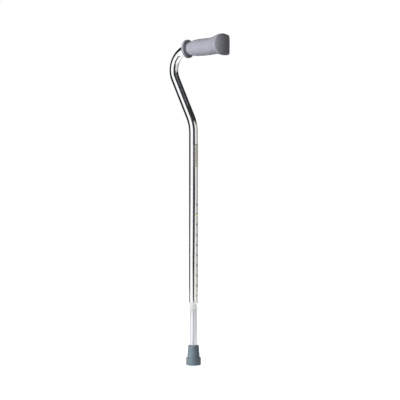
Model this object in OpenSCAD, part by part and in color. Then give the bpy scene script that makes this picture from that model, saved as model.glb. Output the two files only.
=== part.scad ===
// Single point cane: a bent tube with a contoured hand grip, telescoping on a lower tube
// that stands on a rubber tip. A spring button sets the height in equal steps.
// Origin: centre of the tip's ground face. +Z is up the shaft, +X is towards the back of the grip.

/* [Tubes] */
// Outside diameter of the bent upper tube
upper_d = 22.2; // [18:0.1:28]
// Wall of the upper tube
upper_wall = 1; // [0.8:0.1:1.2]
// Gap on each side between the two tubes
tube_gap = 0.575; // [0.4:0.025:1.2]
// Wall of the lower tube
lower_wall = 1.2; // [0.8:0.1:1.6]

/* [Shaft shape] */
// Height from the upper tube's mouth to the lower elbow, along the shaft
elbow_rise = 447.5; // [300:0.5:560]
// Height from the upper tube's mouth to the handle's axis
handle_rise = 639; // [520:1:780]
// Lean of the part between the two bends, from vertical
slant = 27; // [15:1:35]
// Radius of the lower bend, at the tube's axis
lower_bend_r = 90; // [60:1:120]
// Radius of the upper bend, at the tube's axis
upper_bend_r = 50.4; // [38:0.1:60]
// Length of tube inside the hand grip, past the upper bend
handle_run = 101; // [80:1:130]

/* [Height setting] */
// Number of setting holes
hole_count = 10; // [4:1:12]
// Distance between setting holes
hole_pitch = 25.4; // [18:0.1:30]
// Diameter of a setting hole
hole_d = 7; // [5:0.1:9]
// Distance from the tube's mouth to the lowest hole
first_hole = 17.4; // [15:0.1:30]
// Hole that the button stands in, counted from the lowest
set_hole = 9; // [1:1:12]
// Height of the button above the ground
button_z = 378.6; // [330:0.1:460]

/* [Spring button] */
// Diameter of the button
button_d = 6.4; // [4:0.1:8]
// How far the button stands out of the upper tube
button_proud = 2.8; // [1.5:0.1:4]
// Thickness of the leaf spring
leaf_t = 0.6; // [0.4:0.1:1]
// Width of the leaf spring
leaf_w = 9; // [6:0.5:10]
// Length of the leaf spring below the button
leaf_drop = 34; // [24:1:45]

/* [Locking ring] */
// How far the ring stands out past the upper tube
ring_wall = 1.6; // [0.8:0.1:4]
// Height of the ring
ring_h = 18.8; // [14:0.1:26]
// Number of finger flutes around the ring
flute_count = 20; // [8:1:32]
// Number of slits in the collet under the ring
slit_count = 6; // [3:1:8]

/* [Tip] */
// Diameter of the tip's foot
foot_d = 38; // [32:0.5:50]
// Height of the foot
foot_h = 19; // [12:0.5:26]
// Diameter of the tip's body where it meets the foot
tip_low_d = 32.2; // [27:0.1:40]
// Diameter of the tip's body at its mouth
tip_top_d = 27.2; // [24:0.1:36]
// Height of the whole tip
tip_h = 50; // [36:0.5:65]

/* [Hand grip] */
// Length of the grip, flange and palm rest included
grip_len = 126.5; // [115:0.5:160]
// Diameter of the flange
flange_d = 46.7; // [38:0.1:60]
// Thickness of the flange
flange_t = 7; // [4:0.5:10]
// Width of the palm rest
palm_w = 62; // [48:1:76]
// Radius of the palm rest's back face, seen from above
back_r = 44; // [42:1:70]
// Height of the palm rest above the grip's axis
palm_rise = 27.6; // [24:0.1:36]
// Depth of the palm rest below the grip's axis
palm_drop = 25.3; // [20:0.1:32]

/* [Label] */
// Height of the label
label_h = 57; // [20:1:90]
// Distance from the label's upper edge up to the lower bend
label_gap = 28.9; // [5:0.1:80]

/* [Hidden] */
$fn = 96;

upper_r = upper_d / 2;
upper_bore_r = upper_r - upper_wall;
lower_r = upper_bore_r - tube_gap;
lower_bore_r = lower_r - lower_wall;
bend_swell = 0.05; // extra wall on each side of a bend, where the straights run into it
bend_lap = 0.4; // how far a straight runs into a bend
slip = 0.08; // radial clearance of a sliding fit
cut = 1; // how far a cutting tool runs past the face it opens

// heights on the shaft
mouth_z = button_z - first_hole - (set_hole - 1) * hole_pitch;
elbow_z = mouth_z + elbow_rise;
handle_z = mouth_z + handle_rise;
lower_bend_z = elbow_z - lower_bend_r * tan(slant / 2);
upper_bend_z = handle_z - upper_bend_r;
upper_bend_x = (upper_bend_r - (upper_bend_z - elbow_z) * sin(slant)) / cos(slant);
slant_len = (upper_bend_z - upper_bend_r * sin(slant) - elbow_z) / cos(slant)
    - lower_bend_r * tan(slant / 2);

// tip and lower tube
tip_floor = 8;
washer_t = 1.5;
tube_foot_z = tip_floor + washer_t;
tread_depth = 2.5;
tread_w = 2;
tread_pitch = 4;
lower_top_z = button_z + 36;

// button and its leaf, measured along +X from the shaft's axis
button_tip_x = upper_r + button_proud;
dome_h = 1.4;
dome_r = (pow(button_d / 2, 2) + pow(dome_h, 2)) / (2 * dome_h);
button_clear = 0.15;
base_d = button_d + 2;
base_t = 0.8;
base_x = sqrt(pow(lower_bore_r, 2) - pow(base_d / 2, 2)) - button_clear;
leaf_x = base_x - base_t - leaf_t / 2;
rivet_r = 1.5;
rivet_head_t = 0.9;
leaf_end_rise = 7;
leaf_turn = 2; // half width of the leaf's turn
back_leaf_x = sqrt(pow(lower_bore_r, 2) - pow(leaf_w / 2, 2)) - button_clear - leaf_t / 2;

// collet and ring
nose_r = upper_r - 0.1;
nose_len = ring_h - 1.5;
sleeve_len = first_hole - hole_d / 2 - 3;
nose_taper_h = 5;
nose_taper = 0.8;
slit_w = 1;
slit_len = nose_len * 0.65;
ridge_h = 0.3;
ridge_w = 0.8;
ridge_pitch = 2.4;
ridge_count = 3;
flute_r = 1;
flute_depth = 0.3;

// hand grip, measured back from the flange's front face
flange_overhang = 6.7;
grip_x = upper_bend_x - flange_overhang;
groove_w = 3;
groove_r = upper_r + 3;
body_start = flange_t + groove_w;
edge_r = 7;
ring_points = 48;
palm_slack = 2; // the rounded corners take this much off the palm rest's half width
back_mid = grip_len - back_r;
corner_y = palm_w / 2 + palm_slack;
corner_u = back_mid + sqrt(pow(back_r, 2) - pow(corner_y, 2)); // where the sides meet the back face
edge_power = 7; // how sharply they meet there: higher is sharper
// Lines along the grip: pairs of the distance from its front and the value there.
width_line = [
    [body_start, 15.4], [22, 16.4], [36, 17.6], [64, 18], [corner_u - 27.6, 19.4],
    [corner_u - 13.6, 23.5], [corner_u - 4.6, corner_y - 4], [corner_u + 0.4, corner_y + 1],
    [corner_u + 6.4, corner_y + 10], [grip_len, corner_y + 15]
];
rise_line = [
    [body_start, 16.6], [22, 19.4], [36, 21.3], [64, 21.5], [corner_u - 34.6, 21.4],
    [corner_u - 21.6, palm_rise - 4.2], [corner_u - 6.6, palm_rise - 0.8],
    [corner_u + 6.4, palm_rise], [grip_len, palm_rise]
];
drop_line = [
    [body_start, 16.6], [22, 18.7], [36, 20.6], [56, 21.4], [corner_u - 33.6, 21.2],
    [corner_u - 15.6, 20.8], [corner_u - 5.6, palm_drop - 3.1],
    [corner_u + 4.4, palm_drop], [grip_len, palm_drop]
];

// label
label_t = 0.15;
label_wrap = 100;
label_z = lower_bend_z - label_gap - label_h;

// Cross-section of the upper tube, with its wall thicker by grow on each side.
module tube_section(grow = 0) {
    difference() {
        circle(upper_r + grow);
        circle(upper_bore_r - grow);
    }
}

// One bend of the upper tube about the point x, z: it starts at angle from and turns by angle.
// The section's seam is turned by seam, so that it meets the seams of the straights.
module tube_bend(x, z, bend_r, from, angle, seam) {
    translate([x, 0, z])
        rotate([90, 0, 0])
            rotate([0, 0, from])
                rotate_extrude(angle = angle)
                    translate([bend_r, 0])
                        rotate(seam)
                            tube_section(bend_swell);
}

// A ring between two radii, with its lower face at z.
module band(z, h, r_out, r_in) {
    translate([0, 0, z])
        difference() {
            cylinder(h = h, r = r_out);
            translate([0, 0, -cut])
                cylinder(h = h + 2 * cut, r = r_in);
        }
}

// Bent tube from the locking ring to the end of the handle, with the setting holes on its +X side.
module upper_tube() {
    color("silver") {
        difference() {
            translate([0, 0, mouth_z])
                linear_extrude(lower_bend_z - mouth_z + bend_lap)
                    tube_section();
            for (i = [0 : hole_count - 1])
                translate([0, 0, mouth_z + first_hole + i * hole_pitch])
                    rotate([0, 90, 0])
                        cylinder(h = upper_d, d = hole_d);
        }
        tube_bend(-lower_bend_r, lower_bend_z, lower_bend_r, 0, slant, 0);
        translate([-lower_bend_r * (1 - cos(slant)), 0, lower_bend_z + lower_bend_r * sin(slant)])
            rotate([0, -slant, 0])
                translate([0, 0, -bend_lap])
                    linear_extrude(slant_len + 2 * bend_lap)
                        tube_section();
        tube_bend(upper_bend_x, upper_bend_z, upper_bend_r, 90, 90 + slant, 180);
        translate([upper_bend_x - bend_lap, 0, handle_z])
            rotate([0, 90, 0])
                linear_extrude(handle_run + bend_lap)
                    tube_section();
    }
}

// Number of the point that comes before distance u on a line.
function before(line, u, i = 0) =
    i >= len(line) - 2 || u < line[i + 1][0] ? i : before(line, u, i + 1);

// Slope of a line at its point i, level at both ends.
function slope(line, i) =
    i == 0 || i == len(line) - 1 ? 0
    : (line[i + 1][1] - line[i - 1][1]) / (line[i + 1][0] - line[i - 1][0]);

// Value of a line at distance u, along a smooth curve through its points.
function along(line, u) =
    let (
        i = before(line, u),
        run = line[i + 1][0] - line[i][0],
        t = (u - line[i][0]) / run
    )
    line[i][1] * (1 - 3 * t * t + 2 * t * t * t)
    + line[i + 1][1] * (3 * t * t - 2 * t * t * t)
    + slope(line, i) * run * (t - 2 * t * t + t * t * t)
    + slope(line, i + 1) * run * (t * t * t - t * t);

// Half width of the back face's curve at distance u.
function back_half(u) = u <= back_mid ? back_r : sqrt(pow(back_r, 2) - pow(u - back_mid, 2));

// Loss of height where the back face's upper and lower edges are rounded.
function edge_loss(u) =
    let (d = edge_r - (grip_len - u))
    d <= 0 ? 0 : edge_r - sqrt(pow(edge_r, 2) - pow(d, 2));

// Width y held softly within the half width limit.
function within(y, limit) = y / pow(1 + pow(abs(y) / limit, edge_power), 1 / edge_power);

// One point of the section at distance u, at angle a around the grip's axis.
function section_point(u, a) = [
    u,
    within(along(width_line, u) * cos(a), back_half(u)),
    (along(sin(a) > 0 ? rise_line : drop_line, u) - edge_loss(u)) * sin(a)
];

grip_rings = concat(
    [for (u = [body_start : 4 : back_mid - 1]) u],
    [for (a = [0 : 3 : 84]) back_mid + back_r * sin(a)]
);

// Outer shape of the grip behind its groove. Its last ring closes on one point of the back face.
module grip_body() {
    n = ring_points;
    last = len(grip_rings) - 1;
    points = [
        for (u = grip_rings)
            for (j = [0 : n - 1])
                section_point(u, (j + 0.5) * 360 / n)
    ];
    sides = [
        for (i = [0 : last - 1])
            for (j = [0 : n - 1])
                [i * n + j, (i + 1) * n + j, (i + 1) * n + (j + 1) % n, i * n + (j + 1) % n]
    ];
    front = [for (j = [0 : n - 1]) j];
    back = [for (j = [0 : n - 1]) [last * n + j, len(points), last * n + (j + 1) % n]];
    polyhedron(points = concat(points, [[grip_len, 0, 0]]), faces = concat(sides, [front], back));
}

// Soft vinyl grip: flange, groove, waisted body and wide palm rest, bored for the tube.
module hand_grip() {
    rim = 2;
    flange_r = flange_d / 2;
    color("lightslategray")
        translate([grip_x, 0, handle_z])
            difference() {
                union() {
                    grip_body();
                    rotate([0, 90, 0])
                        cylinder(h = body_start + 4, r = groove_r);
                    rotate([0, 90, 0])
                        rotate_extrude()
                            union() {
                                square([flange_r - rim, flange_t]);
                                translate([0, rim])
                                    square([flange_r, flange_t - 2 * rim]);
                                for (y = [rim, flange_t - rim])
                                    translate([flange_r - rim, y])
                                        circle(rim);
                            }
                }
                translate([flange_overhang, 0, 0])
                    rotate([0, 90, 0])
                        cylinder(h = handle_run, r = upper_r);
                translate([-cut, 0, 0])
                    rotate([0, 90, 0])
                        cylinder(h = flange_overhang + 2 * cut, r = upper_r + 0.6);
            }
}

// Thin blank label on the +X side of the shaft, above the setting holes.
module shaft_label() {
    color("tan")
        intersection() {
            band(label_z, label_h, upper_r + label_t, upper_r);
            translate([0, 0, label_z - cut])
                rotate([0, 0, -label_wrap / 2])
                    rotate_extrude(angle = label_wrap)
                        square([upper_d, label_h + 2 * cut]);
        }
}

// Collar of ridges on the collet, or of the grooves for them in the ring.
module ridges(r_out, r_in, grow) {
    for (i = [0 : ridge_count - 1])
        band(mouth_z - 2 - ridge_w - i * ridge_pitch - grow, ridge_w + 2 * grow, r_out, r_in);
}

// Nylon bushing: a sleeve inside the upper tube's mouth, and a slit nose that grips the lower tube.
module collet_bushing() {
    color("white")
        difference() {
            union() {
                translate([0, 0, mouth_z])
                    cylinder(h = sleeve_len, r = upper_bore_r);
                translate([0, 0, mouth_z - nose_len + nose_taper_h])
                    cylinder(h = nose_len - nose_taper_h, r = nose_r);
                translate([0, 0, mouth_z - nose_len])
                    cylinder(h = nose_taper_h, r1 = nose_r - nose_taper, r2 = nose_r);
                ridges(nose_r + ridge_h, nose_r - 0.5, 0);
            }
            translate([0, 0, mouth_z - nose_len - cut])
                cylinder(h = nose_len + sleeve_len + 2 * cut, r = lower_r + slip);
            for (i = [0 : slit_count - 1])
                rotate([0, 0, i * 360 / slit_count])
                    translate([0, -slit_w / 2, mouth_z - nose_len - cut])
                        cube([upper_d, slit_w, slit_len + cut]);
        }
}

// Ring that turns on the collet's nose and squeezes it on to the lower tube.
module lock_ring() {
    r = upper_r + ring_wall;
    edge = 1.2;
    ring_z = mouth_z - ring_h;
    color("white")
        difference() {
            rotate_extrude()
                polygon([
                    [0, ring_z], [r - edge, ring_z], [r, ring_z + edge],
                    [r, mouth_z - edge / 2], [r - edge / 2, mouth_z], [0, mouth_z]
                ]);
            translate([0, 0, mouth_z - nose_len + nose_taper_h])
                cylinder(h = nose_len, r = nose_r + slip);
            translate([0, 0, mouth_z - nose_len - slip])
                cylinder(h = nose_taper_h + slip, r1 = nose_r - nose_taper + slip, r2 = nose_r + slip);
            translate([0, 0, ring_z - cut])
                cylinder(h = ring_h, r = lower_r + 0.35);
            ridges(nose_r + ridge_h + slip, nose_r - 0.5, slip);
            for (i = [0 : flute_count - 1])
                rotate([0, 0, i * 360 / flute_count])
                    translate([r + flute_r - flute_depth, 0, ring_z - cut])
                        cylinder(h = ring_h - 4 + cut, r = flute_r, $fn = 32);
        }
}

// Straight lower tube, with one hole for the button.
module lower_tube() {
    color("gainsboro")
        difference() {
            band(tube_foot_z, lower_top_z - tube_foot_z, lower_r, lower_bore_r);
            translate([0, 0, button_z])
                rotate([0, 90, 0])
                    cylinder(h = upper_d, d = button_d + 2 * slip);
        }
}

// Plug in the top of the lower tube, whose head slides in the upper tube.
module guide_plug() {
    head_h = 4;
    stem_h = 14;
    head_r = upper_bore_r - slip;
    color("white")
        difference() {
            union() {
                translate([0, 0, lower_top_z - stem_h])
                    cylinder(h = stem_h, r = lower_bore_r);
                translate([0, 0, lower_top_z])
                    cylinder(h = head_h - 1, r = head_r);
                translate([0, 0, lower_top_z + head_h - 1])
                    cylinder(h = 1, r1 = head_r, r2 = head_r - 1);
            }
            translate([0, 0, lower_top_z - stem_h - cut])
                cylinder(h = stem_h + head_h + 2 * cut, r = lower_bore_r - 1.6);
        }
}

// Point i of a bent strip's edge, at distance d to the left of the strip's middle line.
function strip_edge(line, i, d) =
    let (
        a = i == 0 ? line[1] - line[0] : line[i] - line[i - 1],
        b = i == len(line) - 1 ? a : line[i + 1] - line[i],
        mean = a / norm(a) + b / norm(b),
        unit = mean / norm(mean)
    )
    line[i] + [-unit[1], unit[0]] * d / (unit * (a / norm(a)));

// Bent steel leaf inside the lower tube: one arm carries the button, the other bears on the far wall.
module leaf_spring() {
    line = [
        [leaf_x, leaf_end_rise], [leaf_x, -base_d / 2 - 3],
        [leaf_turn, 1 - leaf_drop], [0, -leaf_drop], [-leaf_turn, 1 - leaf_drop],
        [-back_leaf_x, 0], [1 - back_leaf_x, leaf_end_rise]
    ];
    last = len(line) - 1;
    color("dimgray")
        translate([0, leaf_w / 2, button_z])
            rotate([90, 0, 0])
                difference() {
                    linear_extrude(leaf_w)
                        polygon(concat(
                            [for (i = [0 : last]) strip_edge(line, i, leaf_t / 2)],
                            [for (i = [last : -1 : 0]) strip_edge(line, i, -leaf_t / 2)]
                        ));
                    translate([0, 0, leaf_w / 2])
                        rotate([0, 90, 0])
                            cylinder(h = upper_r, r = rivet_r + 0.05);
                }
}

// Domed brass button, riveted through the leaf.
module snap_button() {
    color("goldenrod")
        translate([0, 0, button_z])
            rotate([0, 90, 0]) {
                intersection() {
                    translate([0, 0, base_x - base_t])
                        cylinder(h = button_tip_x - base_x + base_t, d = button_d);
                    translate([0, 0, button_tip_x - dome_r])
                        union() {
                            sphere(dome_r);
                            translate([0, 0, -button_tip_x])
                                cylinder(h = button_tip_x + dome_r - dome_h, r = dome_r);
                        }
                }
                translate([0, 0, base_x - base_t])
                    cylinder(h = base_t, d = base_d);
                translate([0, 0, leaf_x - leaf_t / 2 - 0.1])
                    cylinder(h = leaf_t + base_t, r = rivet_r);
                translate([0, 0, leaf_x - leaf_t / 2 - 0.05 - rivet_head_t])
                    cylinder(h = rivet_head_t, r = rivet_r + 0.8);
            }
}

// Rubber tip with a wide foot, a socket for the lower tube and ring treads on the ground face.
module rubber_tip() {
    foot_r = foot_d / 2;
    low_r = tip_low_d / 2;
    top_r = tip_top_d / 2;
    color("slategray")
        difference() {
            rotate_extrude()
                polygon([
                    [0, 0], [foot_r - 1.2, 0], [foot_r, 1.2], [foot_r, foot_h - 1.5],
                    [foot_r - 1.5, foot_h], [low_r, foot_h], [top_r, tip_h - 3],
                    [top_r, tip_h - 0.8], [top_r - 0.8, tip_h], [0, tip_h]
                ]);
            translate([0, 0, tip_floor])
                cylinder(h = tip_h, r = lower_r);
            for (r = [tread_pitch : tread_pitch : foot_r - 1.2 - tread_w])
                band(-cut, tread_depth + cut, r + tread_w, r);
        }
}

// Steel washer that keeps the tube from cutting through the rubber.
module tip_washer() {
    color("darkgray")
        band(tip_floor, washer_t, lower_r, 4);
}

upper_tube();
hand_grip();
shaft_label();
collet_bushing();
lock_ring();
lower_tube();
guide_plug();
leaf_spring();
snap_button();
rubber_tip();
tip_washer();
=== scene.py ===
import math

import bmesh
import bpy
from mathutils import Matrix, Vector


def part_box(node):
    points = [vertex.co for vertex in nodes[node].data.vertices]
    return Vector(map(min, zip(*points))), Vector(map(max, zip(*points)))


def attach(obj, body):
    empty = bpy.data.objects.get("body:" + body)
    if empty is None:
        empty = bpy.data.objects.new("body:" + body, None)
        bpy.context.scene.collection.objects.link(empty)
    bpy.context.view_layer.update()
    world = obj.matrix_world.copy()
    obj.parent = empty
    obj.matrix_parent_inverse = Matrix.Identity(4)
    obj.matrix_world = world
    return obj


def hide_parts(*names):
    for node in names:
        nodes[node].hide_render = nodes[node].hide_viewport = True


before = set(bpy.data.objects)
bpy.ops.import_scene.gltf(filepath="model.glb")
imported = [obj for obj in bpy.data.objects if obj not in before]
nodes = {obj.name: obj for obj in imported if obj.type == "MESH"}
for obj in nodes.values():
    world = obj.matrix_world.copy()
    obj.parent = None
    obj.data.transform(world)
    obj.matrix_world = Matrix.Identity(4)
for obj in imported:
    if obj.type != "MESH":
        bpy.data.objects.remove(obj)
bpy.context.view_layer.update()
print("frame loaded")

mm = 0.001


# One sRGB hex colour as a linear RGBA tuple
def linear(hexColour):
    parts = [int(hexColour[i:i + 2], 16) / 255 for i in (1, 3, 5)]
    return tuple(c / 12.92 if c <= 0.04045 else ((c + 0.055) / 1.055) ** 2.4 for c in parts) + (1,)


# Adds a node. An input is a plain value or an output socket to link from
def addNode(tree, kind, inputs=None, **settings):
    node = tree.nodes.new(kind)
    for name, value in settings.items():
        setattr(node, name, value)
    for key, value in (inputs or {}).items():
        socket = node.inputs[key]
        if isinstance(value, bpy.types.NodeSocket):
            tree.links.new(value, socket)
        else:
            socket.default_value = value
    return node


# An empty material with its output node and Object coordinates
def newMaterial(name):
    material = bpy.data.materials.new(name)
    material.use_nodes = True
    tree = material.node_tree
    tree.nodes.clear()
    output = addNode(tree, "ShaderNodeOutputMaterial")
    place = addNode(tree, "ShaderNodeTexCoord").outputs["Object"]
    return material, tree, output, place


# A colour ramp between (position, hex colour) stops
def ramp(tree, factor, stops):
    node = addNode(tree, "ShaderNodeValToRGB", {"Fac": factor})
    elements = node.color_ramp.elements
    while len(elements) < len(stops):
        elements.new(0.5)
    for element, (position, colour) in zip(elements, stops):
        element.position = position
        element.color = linear(colour)
    return node.outputs["Color"]


# value from low..high mapped to toLow..toHigh, held at the ends
def span(tree, value, low, high, toLow, toHigh):
    return addNode(tree, "ShaderNodeMapRange", {
        "Value": value, "From Min": low, "From Max": high, "To Min": toLow, "To Max": toHigh,
    }).outputs["Result"]


# Noise whose largest features are about size metres across
def noise(tree, place, size, detail=2.0, stretch=(1, 1, 1)):
    scaled = addNode(tree, "ShaderNodeVectorMath", {0: place, 1: stretch}, operation="MULTIPLY")
    return addNode(tree, "ShaderNodeTexNoise", {
        "Vector": scaled.outputs[0], "Scale": 1 / size, "Detail": detail,
    }).outputs["Fac"]


# A bump of depth metres
def bump(tree, height, depth, strength=1.0):
    return addNode(tree, "ShaderNodeBump", {
        "Height": height, "Distance": depth, "Strength": strength,
    }).outputs["Normal"]


# A closed mesh piece with its normals outwards
def meshObject(name, points, faces, material):
    mesh = bpy.data.meshes.new(name)
    mesh.from_pydata(points, [], faces)
    mesh.validate()
    work = bmesh.new()
    work.from_mesh(mesh)
    bmesh.ops.remove_doubles(work, verts=work.verts, dist=1e-7)
    bmesh.ops.recalc_face_normals(work, faces=work.faces)
    for face in work.faces:
        face.smooth = True
    limit = math.radians(40)  # edges that turn by more than this stay sharp
    for edge in work.edges:
        edge.smooth = len(edge.link_faces) == 2 and edge.calc_face_angle(0) < limit
    work.to_mesh(mesh)
    work.free()
    mesh.materials.append(material)
    piece = bpy.data.objects.new(name, mesh)
    bpy.context.scene.collection.objects.link(piece)
    return piece


# Points and faces of rings with equal counts, closed by a point at each end
def loft(rings, startPoint, endPoint):
    count = len(rings[0])
    points = [p for ring in rings for p in ring]
    faces = []
    for i in range(len(rings) - 1):
        for j in range(count):
            k = (j + 1) % count
            faces.append((i * count + j, (i + 1) * count + j, (i + 1) * count + k, i * count + k))
    for point, first in ((startPoint, 0), (endPoint, (len(rings) - 1) * count)):
        points.append(point)
        last = len(points) - 1
        for j in range(count):
            faces.append((last, first + j, first + (j + 1) % count))
    return points, faces


# Points of an arc in a plane, as pairs of numbers
def arcPoints(centre, radius, fromDeg, toDeg, steps):
    found = []
    for i in range(steps + 1):
        angle = math.radians(fromDeg + (toDeg - fromDeg) * i / steps)
        found.append((centre[0] + radius * math.cos(angle), centre[1] + radius * math.sin(angle)))
    return found


# A finished piece rides on its body and stands for the CAD nodes it replaces
def show(piece, body, slotName, *replaced):
    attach(piece, body)
    if replaced:
        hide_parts(*replaced)
    return piece


# Gives a CAD node its finish
def dress(nodeName, material):
    slots = nodes[nodeName].material_slots
    for entry in slots:
        entry.material = material


# Bright dipped and clear anodised aluminium tube: near mirror, with faint draw lines along it
def polishedTube():
    material, tree, output, place = newMaterial("bright_anodised_aluminium_tube")
    # draw lines are really about 0.05 mm apart; drawn at 0.4 mm so that they don't alias
    lines = noise(tree, place, 0.4 * mm, 1.0, (1, 1, 0.004))
    cloud = noise(tree, place, 25 * mm, 3.0, (1, 1, 0.4))
    shader = addNode(tree, "ShaderNodeBsdfPrincipled", {
        "Base Color": ramp(tree, cloud, [(0.3, "#e4e5e7"), (0.7, "#edeef0")]),
        "Metallic": 1.0,
        "Roughness": span(tree, cloud, 0.3, 0.7, 0.085, 0.13),
        "Normal": bump(tree, lines, 0.002 * mm, 0.35),
    })
    tree.links.new(shader.outputs[0], output.inputs["Surface"])
    return material


# Drawn and clear anodised inner tube: satin, paler and softer than the outer one
def satinTube():
    material, tree, output, place = newMaterial("drawn_clear_anodised_aluminium_tube")
    lines = noise(tree, place, 0.5 * mm, 1.0, (1, 1, 0.004))
    cloud = noise(tree, place, 18 * mm, 3.0, (1, 1, 0.3))
    shader = addNode(tree, "ShaderNodeBsdfPrincipled", {
        "Base Color": ramp(tree, cloud, [(0.3, "#c0c2c6"), (0.7, "#cbcdd0")]),
        "Metallic": 1.0,
        "Roughness": span(tree, cloud, 0.3, 0.7, 0.28, 0.36),
        "Normal": bump(tree, lines, 0.003 * mm, 0.5),
    })
    tree.links.new(shader.outputs[0], output.inputs["Surface"])
    return material


# Moulded soft vinyl: matt, fine leathery grain, lavender grey
def gripVinyl():
    material, tree, output, place = newMaterial("moulded_matt_vinyl")
    grain = noise(tree, place, 1.2 * mm, 3.0)
    cloud = noise(tree, place, 30 * mm, 2.0)
    shader = addNode(tree, "ShaderNodeBsdfPrincipled", {
        "Base Color": ramp(tree, cloud, [(0.3, "#9799a3"), (0.7, "#9fa1ab")]),
        "Roughness": span(tree, grain, 0.3, 0.7, 0.54, 0.64),
        "Specular IOR Level": 0.45,
        "Normal": bump(tree, grain, 0.04 * mm, 0.35),
    })
    tree.links.new(shader.outputs[0], output.inputs["Surface"])
    return material


# Blank metallised polyester film: silver with a warm cast and a blurred sheen, with a thin dark rule
# along its top edge
def labelFilm(high):
    material, tree, output, place = newMaterial("blank_metallised_polyester_film")
    height = addNode(tree, "ShaderNodeSeparateXYZ", {"Vector": place}).outputs["Z"]
    ruleHeight = 1.6 * mm
    rule = addNode(tree, "ShaderNodeMath", {
        0: height, 1: high - ruleHeight,
    }, operation="GREATER_THAN").outputs[0]
    cloud = noise(tree, place, 8 * mm, 2.0)
    ink = addNode(tree, "ShaderNodeMix", data_type="RGBA")
    # a mix node's sockets are named alike for each type, so the colour ones are found by identifier
    sockets = {entry.identifier: entry for entry in ink.inputs}
    tree.links.new(rule, sockets["Factor_Float"])
    tree.links.new(ramp(tree, cloud, [(0.3, "#c6c5be"), (0.7, "#d0cfc9")]), sockets["A_Color"])
    sockets["B_Color"].default_value = linear("#57575a")
    colour = [entry for entry in ink.outputs if entry.identifier == "Result_Color"][0]
    shader = addNode(tree, "ShaderNodeBsdfPrincipled", {
        "Base Color": colour,
        "Metallic": 0.85,
        "Roughness": span(tree, cloud, 0.3, 0.7, 0.2, 0.27),
    })
    tree.links.new(shader.outputs[0], output.inputs["Surface"])
    return material


# Moulded nylon: white, waxy, lets a little light in
def whiteNylon():
    material, tree, output, place = newMaterial("moulded_white_nylon")
    cloud = noise(tree, place, 6 * mm, 2.0)
    shader = addNode(tree, "ShaderNodeBsdfPrincipled", {
        "Base Color": ramp(tree, cloud, [(0.3, "#dbdde0"), (0.7, "#e2e4e6")]),
        "Roughness": span(tree, cloud, 0.3, 0.7, 0.34, 0.42),
        "Subsurface Weight": 0.4,
        "Subsurface Radius": (1, 1, 1),
        "Subsurface Scale": 4 * mm,
        "Normal": bump(tree, noise(tree, place, 1.0 * mm), 0.01 * mm, 0.3),
    })
    tree.links.new(shader.outputs[0], output.inputs["Surface"])
    return material


# Tempered spring strip: blue-grey, rolled along its length
def springSteel():
    material, tree, output, place = newMaterial("rolled_tempered_spring_steel")
    lines = noise(tree, place, 0.4 * mm, 1.0, (1, 1, 0.02))
    shader = addNode(tree, "ShaderNodeBsdfPrincipled", {
        "Base Color": ramp(tree, lines, [(0.3, "#8f949b"), (0.7, "#a5a9af")]),
        "Metallic": 1.0,
        "Roughness": span(tree, lines, 0.3, 0.7, 0.28, 0.38),
        "Normal": bump(tree, lines, 0.004 * mm, 0.5),
    })
    tree.links.new(shader.outputs[0], output.inputs["Surface"])
    return material


# Turned brass: warm yellow with fine turning marks
def turnedBrass():
    material, tree, output, place = newMaterial("turned_brass")
    lines = noise(tree, place, 0.5 * mm, 1.0, (1, 0.1, 0.1))
    shader = addNode(tree, "ShaderNodeBsdfPrincipled", {
        "Base Color": ramp(tree, lines, [(0.3, "#dcc688"), (0.7, "#eadaa6")]),
        "Metallic": 1.0,
        "Roughness": span(tree, lines, 0.3, 0.7, 0.22, 0.32),
        "Normal": bump(tree, lines, 0.004 * mm, 0.5),
    })
    tree.links.new(shader.outputs[0], output.inputs["Surface"])
    return material


# Moulded rubber: matt blue-grey, slightly dusty on top of its grain
def tipRubber():
    material, tree, output, place = newMaterial("moulded_grey_rubber")
    grain = noise(tree, place, 1.0 * mm, 3.0)
    cloud = noise(tree, place, 14 * mm, 3.0)
    shader = addNode(tree, "ShaderNodeBsdfPrincipled", {
        "Base Color": ramp(tree, cloud, [(0.3, "#687882"), (0.7, "#71838d")]),
        "Roughness": span(tree, grain, 0.3, 0.7, 0.4, 0.5),
        "Specular IOR Level": 0.5,
        "Normal": bump(tree, grain, 0.03 * mm, 0.35),
    })
    tree.links.new(shader.outputs[0], output.inputs["Surface"])
    return material


# Zinc plated washer: pale grey, slightly cloudy
def zincPlate():
    material, tree, output, place = newMaterial("zinc_plated_steel")
    cloud = noise(tree, place, 3 * mm, 2.0)
    shader = addNode(tree, "ShaderNodeBsdfPrincipled", {
        "Base Color": ramp(tree, cloud, [(0.3, "#b9bcc0"), (0.7, "#c9ccd0")]),
        "Metallic": 1.0,
        "Roughness": span(tree, cloud, 0.3, 0.7, 0.3, 0.42),
    })
    tree.links.new(shader.outputs[0], output.inputs["Surface"])
    return material


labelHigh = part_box("shaft_label")[1].z
polished = polishedTube()
satin = satinTube()
vinyl = gripVinyl()
film = labelFilm(labelHigh)
nylon = whiteNylon()
spring = springSteel()
brass = turnedBrass()
rubber = tipRubber()
zinc = zincPlate()
print("materials made")


# tubes: a pipe that follows a path, with a row of round holes on its +X side

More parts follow.
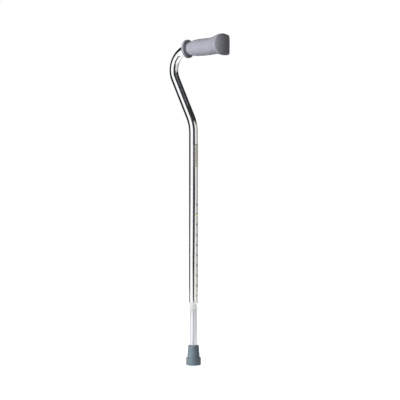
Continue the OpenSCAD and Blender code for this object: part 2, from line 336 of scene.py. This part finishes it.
# Geometry nodes for a bored and drilled pipe
def pipeTree():
    tree = bpy.data.node_groups.new("drilled_pipe", "GeometryNodeTree")
    tree.interface.new_socket("Geometry", in_out="OUTPUT", socket_type="NodeSocketGeometry")
    tree.interface.new_socket("Path", in_out="INPUT", socket_type="NodeSocketGeometry")
    for name, kind, value in (
        ("Outer radius", "NodeSocketFloat", 11.1 * mm),
        ("Inner radius", "NodeSocketFloat", 10.1 * mm),
        ("Overrun", "NodeSocketFloat", 5 * mm),
        ("First hole", "NodeSocketFloat", 0.1),
        ("Hole spacing", "NodeSocketFloat", 25.4 * mm),
        ("Hole count", "NodeSocketInt", 1),
        ("Hole radius", "NodeSocketFloat", 3.5 * mm),
        ("Segments", "NodeSocketInt", 96),
        ("Finish", "NodeSocketMaterial", None),
    ):
        socket = tree.interface.new_socket(name, in_out="INPUT", socket_type=kind)
        if value is not None:
            socket.default_value = value
    given = addNode(tree, "NodeGroupInput").outputs
    line = addNode(tree, "GeometryNodeMeshToCurve", {"Mesh": given["Path"]}).outputs["Curve"]
    length = addNode(tree, "GeometryNodeCurveLength", {"Curve": line}).outputs["Length"]
    far = addNode(tree, "ShaderNodeMath", {0: length, 1: given["Overrun"]}, operation="SUBTRACT").outputs[0]
    trim = addNode(tree, "GeometryNodeTrimCurve", mode="LENGTH")
    tree.links.new(line, trim.inputs["Curve"])
    tree.links.new(given["Overrun"], [s for s in trim.inputs if s.identifier == "Start_001"][0])
    tree.links.new(far, [s for s in trim.inputs if s.identifier == "End_001"][0])
    walls = []
    for path, radius in ((trim.outputs["Curve"], "Outer radius"), (line, "Inner radius")):
        circle = addNode(tree, "GeometryNodeCurvePrimitiveCircle", {
            "Resolution": given["Segments"], "Radius": given[radius],
        }).outputs["Curve"]
        walls.append(addNode(tree, "GeometryNodeCurveToMesh", {
            "Curve": path, "Profile Curve": circle, "Fill Caps": True,
        }).outputs["Mesh"])
    drill = addNode(tree, "GeometryNodeMeshCylinder", {
        "Vertices": 48, "Radius": given["Hole radius"], "Depth": given["Outer radius"],
    }).outputs["Mesh"]
    start = addNode(tree, "ShaderNodeCombineXYZ", {"X": given["Outer radius"], "Z": given["First hole"]})
    step = addNode(tree, "ShaderNodeCombineXYZ", {"Z": given["Hole spacing"]})
    row = addNode(tree, "GeometryNodeMeshLine", {
        "Count": given["Hole count"], "Start Location": start.outputs[0], "Offset": step.outputs[0],
    }, mode="OFFSET").outputs["Mesh"]
    drills = addNode(tree, "GeometryNodeInstanceOnPoints", {
        "Points": row, "Instance": drill, "Rotation": (0, math.pi / 2, 0),
    }).outputs["Instances"]
    drills = addNode(tree, "GeometryNodeRealizeInstances", {"Geometry": drills}).outputs["Geometry"]
    bored = addNode(tree, "GeometryNodeMeshBoolean", {
        "Mesh 1": walls[0], "Mesh 2": walls[1],
    }, operation="DIFFERENCE", solver="MANIFOLD")
    drilled = addNode(tree, "GeometryNodeMeshBoolean", {
        "Mesh 1": bored.outputs["Mesh"], "Mesh 2": drills,
    }, operation="DIFFERENCE", solver="MANIFOLD").outputs["Mesh"]
    angle = addNode(tree, "GeometryNodeInputMeshEdgeAngle").outputs["Unsigned Angle"]
    sharp = math.radians(35)  # the holes' rims stay sharp
    soft = addNode(tree, "FunctionNodeCompare", {"A": angle, "B": sharp}, operation="LESS_THAN")
    faces = addNode(tree, "GeometryNodeSetShadeSmooth", {
        "Geometry": drilled, "Shade Smooth": True,
    }, domain="FACE").outputs["Geometry"]
    edges = addNode(tree, "GeometryNodeSetShadeSmooth", {
        "Geometry": faces, "Shade Smooth": soft.outputs[0],
    }, domain="EDGE").outputs["Geometry"]
    real = addNode(tree, "GeometryNodeRealizeInstances", {"Geometry": edges}).outputs["Geometry"]
    finished = addNode(tree, "GeometryNodeSetMaterial", {
        "Geometry": real, "Material": given["Finish"],
    }).outputs["Geometry"]
    addNode(tree, "NodeGroupOutput", {0: finished})
    return tree


# Runs a tree on a mesh and returns its result as a plain mesh object
def baked(name, sourceMesh, tree, values):
    source = bpy.data.objects.new(name + "_source", sourceMesh)
    bpy.context.scene.collection.objects.link(source)
    modifier = source.modifiers.new("shape", "NODES")
    modifier.node_group = tree
    for item in tree.interface.items_tree:
        if item.item_type == "SOCKET" and item.in_out == "INPUT" and item.name in values:
            modifier[item.identifier] = values[item.name]
    graph = bpy.context.evaluated_depsgraph_get()
    mesh = bpy.data.meshes.new_from_object(source.evaluated_get(graph))
    mesh.name = name
    bpy.data.objects.remove(source)
    piece = bpy.data.objects.new(name, mesh)
    bpy.context.scene.collection.objects.link(piece)
    return piece


# A chain of edges through points, for a pipe to follow
def pathMesh(name, points):
    mesh = bpy.data.meshes.new(name)
    mesh.from_pydata(points, [(i, i + 1) for i in range(len(points) - 1)], [])
    return mesh


upper = {
    "outerRadius": 11.1 * mm,
    "innerRadius": 10.1 * mm,
    "mouthZ": 158 * mm,
    "lowerBend": (-90 * mm, 583.89 * mm, 90 * mm, 27),  # centre x and z, radius, turn in degrees
    "upperBend": (-15.33 * mm, 746.6 * mm, 50.4 * mm, 117),
    "handleEnd": 85.67 * mm,
    "firstHole": 175.4 * mm,
    "holeSpacing": 25.4 * mm,
    "holeCount": 10,
    "holeRadius": 3.5 * mm,
    "segments": 128,
    "pathStep": 20 * mm,
    "lowerBendSteps": 24,
    "upperBendSteps": 72,
}


# Centre line from below the mouth, through both bends, to past the handle's end
def upperPath(s, overrun):
    x, z, radius, turn = s["lowerBend"]
    line = [(0, s["mouthZ"] - overrun)]
    steps = math.ceil((z - s["mouthZ"]) / s["pathStep"])
    line += [(0, s["mouthZ"] + s["pathStep"] * i) for i in range(steps)]
    line += arcPoints((x, z), radius, 0, turn, s["lowerBendSteps"])
    x, z, radius, turn = s["upperBend"]
    line += arcPoints((x, z), radius, 90 + turn, 90, s["upperBendSteps"])
    line += [(s["handleEnd"] + overrun, z + radius)]
    return [(a, 0, b) for a, b in line]


pipes = pipeTree()
overrun = 5 * mm
upperTube = baked("upper_tube_visual", pathMesh("upper_path", upperPath(upper, overrun)), pipes, {
    "Outer radius": upper["outerRadius"],
    "Inner radius": upper["innerRadius"],
    "Overrun": overrun,
    "First hole": upper["firstHole"],
    "Hole spacing": upper["holeSpacing"],
    "Hole count": upper["holeCount"],
    "Hole radius": upper["holeRadius"],
    "Segments": upper["segments"],
    "Finish": polished,
})
show(upperTube, "handle_shaft", "polished_tube", "upper_tube")

lower = {
    "outerRadius": 9.525 * mm,
    "innerRadius": 8.325 * mm,
    "footZ": 9.5 * mm,
    "topZ": 414.6 * mm,
    "holeZ": 378.6 * mm,
    "holeRadius": 3.28 * mm,
    "segments": 96,
    "pathStep": 20 * mm,
    "pathPoints": 19,  # between the ends
}
lowerLine = [(0, 0, lower["footZ"] - overrun)]
lowerLine += [(0, 0, lower["footZ"] + lower["pathStep"] * (i + 1)) for i in range(lower["pathPoints"])]
lowerLine += [(0, 0, lower["topZ"] + overrun)]
lowerTube = baked("lower_tube_visual", pathMesh("lower_path", lowerLine), pipes, {
    "Outer radius": lower["outerRadius"],
    "Inner radius": lower["innerRadius"],
    "Overrun": overrun,
    "First hole": lower["holeZ"],
    "Hole count": 1,
    "Hole radius": lower["holeRadius"],
    "Segments": lower["segments"],
    "Finish": satin,
})
show(lowerTube, "lower_leg", "satin_tube", "lower_tube")
print("tubes made")


# hand grip: one skin from the bore, over the flange and groove, to the palm rest

grip = {
    "frontX": -22.03,  # all sizes in mm; distances along it are from the flange's front face
    "axisZ": 797,
    "length": 126.5,
    "flangeR": 23.35,
    "flangeT": 7,
    "rim": 2.2,
    "grooveR": 14.1,
    "bodyStart": 10,
    "bodyRound": 1.6,
    "mouthRound": 0.4,
    "fillet": 0.8,
    "edgeR": 7,
    "planR": 44,
    "planMid": 82.5,
    "edgePower": 7,
    "boreR": 11.1,
    "mouthR": 11.7,
    "boreFrom": 6.7,
    "boreTo": 107.7,
    "inset": 0.9975,  # keeps this finer skin within the coarser CAD one
    "points": 192,
    "bodySteps": 90,
    "roundSteps": 6,
    "backSteps": 110,
    "backTurn": 88.5,  # degrees round the back face to its last ring
    "width": [
        (10, 15.4), (22, 16.4), (36, 17.6), (64, 18), (84, 19.4),
        (98, 23.5), (107, 29), (112, 34), (118, 43), (126.5, 48),
    ],
    "rise": [
        (10, 16.6), (22, 19.4), (36, 21.3), (64, 21.5), (77, 21.4),
        (90, 23.4), (105, 26.8), (118, 27.6), (126.5, 27.6),
    ],
    "drop": [
        (10, 16.6), (22, 18.7), (36, 20.6), (56, 21.4), (78, 21.2), (96, 20.8),
        (106, 22.2), (116, 25.3), (126.5, 25.3),
    ],
}


# Value at u on a smooth curve through a line's points, level at both ends
def along(line, u):
    last = len(line) - 1
    i = max(k for k in range(last) if k == 0 or line[k][0] <= u)

    def slope(k):
        if k in (0, last):
            return 0
        return (line[k + 1][1] - line[k - 1][1]) / (line[k + 1][0] - line[k - 1][0])

    run = line[i + 1][0] - line[i][0]
    t = (u - line[i][0]) / run
    return (
        line[i][1] * (1 - 3 * t * t + 2 * t ** 3)
        + line[i + 1][1] * (3 * t * t - 2 * t ** 3)
        + slope(i) * run * (t - 2 * t * t + t ** 3)
        + slope(i + 1) * run * (t ** 3 - t * t)
    )


# Section of the grip's body at distance u
def gripRing(s, u):
    past = max(0, u - s["planMid"])
    limit = math.sqrt(max(s["planR"] ** 2 - past ** 2, 0))
    d = max(0, s["edgeR"] - (s["length"] - u))
    loss = s["edgeR"] - math.sqrt(max(s["edgeR"] ** 2 - d * d, 0))
    d = max(0, s["bodyRound"] - (u - s["bodyStart"]))
    shrink = s["bodyRound"] - math.sqrt(max(s["bodyRound"] ** 2 - d * d, 0))
    wide = along(s["width"], u)
    ring = []
    for j in range(s["points"]):
        a = math.radians((j + 0.5) * 360 / s["points"])
        tall = along(s["rise"] if math.sin(a) > 0 else s["drop"], u) - loss - shrink
        y = (wide - shrink) * math.cos(a)
        y /= (1 + (abs(y) / limit) ** s["edgePower"]) ** (1 / s["edgePower"])
        ring.append((u, y * s["inset"], tall * s["inset"] * math.sin(a)))
    return ring


# Round section at distance u, for the flange, the groove and the bore
def roundRing(s, u, radius):
    ring = []
    for j in range(s["points"]):
        a = math.radians((j + 0.5) * 360 / s["points"])
        ring.append((u, radius * math.cos(a), radius * math.sin(a)))
    return ring


# The whole grip, from the bore's blind end round to the middle of the back face
def buildGrip(s):
    rim, r, t = s["rim"], s["flangeR"], s["flangeT"]
    profile = [(s["boreTo"], s["boreR"]), (s["boreFrom"], s["boreR"]), (s["boreFrom"], s["mouthR"])]
    profile += [(s["mouthRound"], s["mouthR"]), (0, s["mouthR"] + s["mouthRound"])]
    profile += arcPoints((rim, r - rim), rim, 180, 90, 8)
    profile += arcPoints((t - rim, r - rim), rim, 90, 0, 8)
    fillet = s["fillet"]
    profile += arcPoints((t + fillet, s["grooveR"] + fillet), fillet, 180, 270, 4)
    profile += arcPoints((s["bodyStart"] - fillet, s["grooveR"] + fillet), fillet, 270, 360, 4)
    rings = [roundRing(s, u, radius) for u, radius in profile]
    for i in range(s["bodySteps"] + 1):
        share = i / s["bodySteps"]
        u = s["bodyStart"] + (s["planMid"] - s["bodyStart"]) * share
        if i < s["roundSteps"]:
            a = math.radians(90 * i / s["roundSteps"])
            u = s["bodyStart"] + s["bodyRound"] * (1 - math.cos(a))
        rings.append(gripRing(s, u))
    for i in range(1, s["backSteps"] + 1):
        a = math.radians(s["backTurn"] * i / s["backSteps"])
        rings.append(gripRing(s, s["planMid"] + s["planR"] * math.sin(a)))
    points, faces = loft(rings, (s["boreTo"], 0, 0), (s["length"], 0, 0))
    points = [((s["frontX"] + x) * mm, y * mm, (s["axisZ"] + z) * mm) for x, y, z in points]
    return meshObject("hand_grip_visual", points, faces, vinyl)


show(buildGrip(grip), "handle_shaft", "grip_vinyl", "hand_grip")
print("grip made")


# rubber tip: turned profile with treads, a lip at the mouth and a socket

tip = {
    "footR": 19,  # mm
    "footH": 19,
    "lowR": 16.1,
    "topR": 13.6,
    "height": 50,
    "floor": 8,
    "socketR": 9.525,
    "footEdge": 1.5,
    "treadDepth": 2.5,
    "treadWidth": 2,
    "treadPitch": 4,
    "treadLast": 15.8,
    "treadTaper": 0.15,
    "fillet": 1.2,
    "lipHeight": 3.2,
    "lipStep": 0.3,
    "lipOut": 0.15,
    "lipIn": 0.25,
    "lipRound": 1.1,
    "mouthBevel": 0.6,
    "points": 160,
}


# The tip, from the middle of its ground face round to the socket's floor
def buildTip(s):
    r, edge = s["footR"], s["footEdge"]
    line = []
    radius = s["treadPitch"]
    while radius < s["treadLast"]:
        depth = s["treadDepth"]
        taper = s["treadTaper"]
        line += [(radius, 0), (radius + taper, depth), (radius + s["treadWidth"] - taper, depth)]
        line += [(radius + s["treadWidth"], 0)]
        radius += s["treadPitch"]
    line += arcPoints((r - edge, edge), edge, 270, 360, 8)
    line += arcPoints((r - edge, s["footH"] - edge), edge, 0, 90, 8)
    fillet = s["fillet"]
    line += arcPoints((s["lowR"] + fillet, s["footH"] + fillet), fillet, 270, 180, 6)
    lipZ = s["height"] - s["lipHeight"]
    neckR = s["topR"] - s["lipIn"]
    line += [(s["topR"] + s["lipOut"], lipZ)]
    line += [(neckR, lipZ + s["lipStep"]), (neckR, lipZ + 2 * s["lipStep"])]
    curve, bevel = s["lipRound"], s["mouthBevel"]
    line += arcPoints((s["topR"] - curve, s["height"] - curve), curve, 0, 90, 8)
    line += [(s["socketR"] + bevel, s["height"]), (s["socketR"], s["height"] - bevel)]
    line += [(s["socketR"], s["floor"])]
    rings = []
    for radius, z in line:
        ring = []
        for j in range(s["points"]):
            a = math.tau * j / s["points"]
            ring.append((radius * math.cos(a) * mm, radius * math.sin(a) * mm, z * mm))
        rings.append(ring)
    points, faces = loft(rings, (0, 0, 0), (0, 0, s["floor"] * mm))
    return meshObject("rubber_tip_visual", points, faces, rubber)


show(buildTip(tip), "lower_leg", "tip_rubber", "rubber_tip")
print("tip made")

dress("shaft_label", film)
dress("collet_bushing", nylon)
dress("lock_ring", nylon)
dress("guide_plug", nylon)
dress("leaf_spring", spring)
dress("snap_button", brass)
dress("tip_washer", zinc)
print("CAD nodes dressed")


# camera

shot = {
    "azimuth": 40,
    "distance": 2.77,
    "height": 0.415,
    "aside": 0.0164,  # the optical axis passes this far to the right of the shaft
    "lens": 99,
}
turn = math.radians(shot["azimuth"])
toCamera = Vector((math.sin(turn), -math.cos(turn), 0))
toRight = Vector((math.cos(turn), math.sin(turn), 0))
camera = bpy.data.objects.new("camera", bpy.data.cameras.new("camera"))
bpy.context.scene.collection.objects.link(camera)
camera.location = toCamera * shot["distance"] + toRight * shot["aside"] + Vector((0, 0, shot["height"]))
camera.rotation_euler = (math.pi / 2, 0, turn)
camera.data.lens = shot["lens"]
camera.data.sensor_width = 36
camera.data.dof.use_dof = False
bpy.context.scene.camera = camera


# stage and light

# A material that gives off an even light of that radiance
def glow(name, radiance, colour="#ffffff"):
    material, tree, output, place = newMaterial(name)
    shader = addNode(tree, "ShaderNodeEmission", {"Color": linear(colour), "Strength": radiance})
    tree.links.new(shader.outputs[0], output.inputs["Surface"])
    return material


# A stage piece that is seen only in reflections
def reflected(name, corners, faces, material):
    mesh = bpy.data.meshes.new(name)
    mesh.from_pydata(corners, [], faces)
    mesh.materials.append(material)
    piece = bpy.data.objects.new(name, mesh)
    bpy.context.scene.collection.objects.link(piece)
    piece.visible_camera = False
    piece.visible_shadow = False
    piece.visible_diffuse = False


# Direction at an angle round the shaft from the camera's side, in degrees
def towards(angle):
    a = math.radians(angle)
    return toCamera * math.cos(a) + toRight * math.sin(a)


# An upright card. Each level is its height and the angles of its two edges
def card(name, distance, radiance, colour, levels):
    corners = []
    for z, fromDeg, toDeg in levels:
        for angle in (fromDeg, toDeg):
            corners.append(towards(angle) * distance + Vector((0, 0, z)))
    faces = [(2 * i, 2 * i + 1, 2 * i + 3, 2 * i + 2) for i in range(len(levels) - 1)]
    reflected(name, corners, faces, glow(name, radiance, colour))


warm = "#fffcf4"
light = {
    "world": 0.03,
    "cards": [  # name, distance, radiance, colour, levels
        ("softbox_left", 1.3, 1.2, "#ffffff", [
            (0.01, -98, -5), (0.2, -92, -5), (0.49, -80, -5), (2.6, -80, -5),
        ]),
        ("softbox_right", 1.3, 1.0, warm, [(0.01, 8, 74), (1.3, 8, 74)]),
        ("dark_camera_side", 1.2, 0.045, "#f4fbff", [
            (0.01, -40, 18), (0.1, -37, 22), (0.49, -16, 52), (0.85, -16, 52), (1.3, -38, 52), (2.2, -42, 52),
        ]),
        ("grey_right", 1.4, 0.62, warm, [(0.01, 74, 112), (1.15, 74, 112)]),
        ("grey_right_rear", 1.5, 0.33, warm, [(0.01, 112, 170), (0.95, 112, 170)]),
        ("dark_left_rear", 1.25, 0.015, "#ffffff", [
            (0.01, -175, -98), (0.2, -175, -92), (0.49, -175, -80), (2.6, -175, -80),
        ]),
    ],
    "lowCards": [  # from, to in degrees and radiance, close round the lower tube
        (-175, -98, 1.13), (-98, -60, 1.56), (-60, -25, 2.3), (-25, 0, 1.4),
        (0, 30, 1.1), (30, 60, 1.16), (60, 100, 0.85), (100, 175, 1.1),
    ],
    "lowCardDistance": 0.4,
    "lowCardFoot": 2 * mm,
    "lowCardTop": 112 * mm,
    "darkFloor": (0.15, 1.2, -40, 20),  # from and to distance, from and to angle
    "darkFloorHeight": 1 * mm,
    "darkFloorRadiance": 0.05,
    "darkFloorSteps": 6,
    "lamps": [  # name, angle, distance, height, aimed at height, width, depth, watts, spread
        ("key", -56, 1.7, 0.75, 0.45, 1.4, 1.8, 50, 180),
        ("fill", 30, 2.4, 0.9, 0.5, 1.2, 1.2, 8, 180),
        ("rear_fill", 178, 2.2, 1.1, 0.5, 1.6, 1.6, 40, 180),
        ("ring_fill", 75, 0.5, 0.17, 0.152, 0.05, 0.05, 0.02, 10),
    ],
    "floorGlow": 1.0,
    "floorR": 11,
    "backdrop": 1.0,
    "backdropR": 12,
}
for entry in light["cards"]:
    card(*entry)
for fromDeg, toDeg, radiance in light["lowCards"]:
    levels = [(light["lowCardFoot"], fromDeg, toDeg), (light["lowCardTop"], fromDeg, toDeg)]
    card("low_card", light["lowCardDistance"], radiance, "#ffffff", levels)
near, far, fromDeg, toDeg = light["darkFloor"]
steps = light["darkFloorSteps"]
lift = Vector((0, 0, light["darkFloorHeight"]))
darkCorners = []
for i in range(steps + 1):
    out = towards(fromDeg + (toDeg - fromDeg) * i / steps)
    darkCorners += [out * near + lift, out * far + lift]
darkFaces = [(2 * i, 2 * i + 1, 2 * i + 3, 2 * i + 2) for i in range(steps)]
reflected("dark_floor", darkCorners, darkFaces, glow("dark_floor", light["darkFloorRadiance"]))

world = bpy.data.worlds.new("studio")
bpy.context.scene.world = world
world.use_nodes = True
world.node_tree.nodes.clear()
sky = addNode(world.node_tree, "ShaderNodeBackground", {"Color": (1, 1, 1, 1), "Strength": light["world"]})
addNode(world.node_tree, "ShaderNodeOutputWorld", {"Surface": sky.outputs[0]})

# pale studio floor
floorMaterial, floorTree, floorOut, floorPlace = newMaterial("pale_studio_floor")
floorShade = addNode(floorTree, "ShaderNodeBsdfPrincipled", {
    "Base Color": ramp(floorTree, noise(floorTree, floorPlace, 0.5), [(0.3, "#c9c9c9"), (0.7, "#cecece")]),
    "Roughness": 0.9,
    "Specular IOR Level": 0.1,
    "Emission Color": (1, 1, 1, 1),
    "Emission Strength": light["floorGlow"],
})
floorTree.links.new(floorShade.outputs[0], floorOut.inputs["Surface"])
floorMesh = bpy.data.meshes.new("floor")
r = light["floorR"]
floorMesh.from_pydata([(-r, -r, 0), (r, -r, 0), (r, r, 0), (-r, r, 0)], [], [(0, 1, 2, 3)])
floorMesh.materials.append(floorMaterial)
floor = bpy.data.objects.new("floor", floorMesh)
bpy.context.scene.collection.objects.link(floor)
floor.visible_diffuse = False

# white backdrop all round, which only the camera sees, so that it sends no light on to the cane
domeMesh = bpy.data.meshes.new("backdrop")
work = bmesh.new()
bmesh.ops.create_icosphere(work, subdivisions=3, radius=light["backdropR"])
bmesh.ops.reverse_faces(work, faces=work.faces)
work.to_mesh(domeMesh)
work.free()
domeMesh.materials.append(glow("backdrop_white", light["backdrop"]))
dome = bpy.data.objects.new("backdrop", domeMesh)
bpy.context.scene.collection.objects.link(dome)
dome.visible_diffuse = False
dome.visible_glossy = False
dome.visible_transmission = False
dome.visible_shadow = False


# A soft area light aimed at a height on the cane
def lamp(name, angle, distance, height, aimHeight, width, depth, power, spread):
    place = towards(angle) * distance + Vector((0, 0, height))
    data = bpy.data.lights.new(name, "AREA")
    data.shape = "RECTANGLE"
    data.size = width
    data.size_y = depth
    data.energy = power
    data.spread = math.radians(spread)
    holder = bpy.data.objects.new(name, data)
    bpy.context.scene.collection.objects.link(holder)
    holder.location = place
    holder.rotation_euler = (Vector((0, 0, aimHeight)) - place).to_track_quat("-Z", "Y").to_euler()
    holder.visible_glossy = False
    holder.visible_camera = False


for entry in light["lamps"]:
    lamp(*entry)
print("camera, stage and light made")

bpy.context.scene.view_settings.view_transform = "Standard"
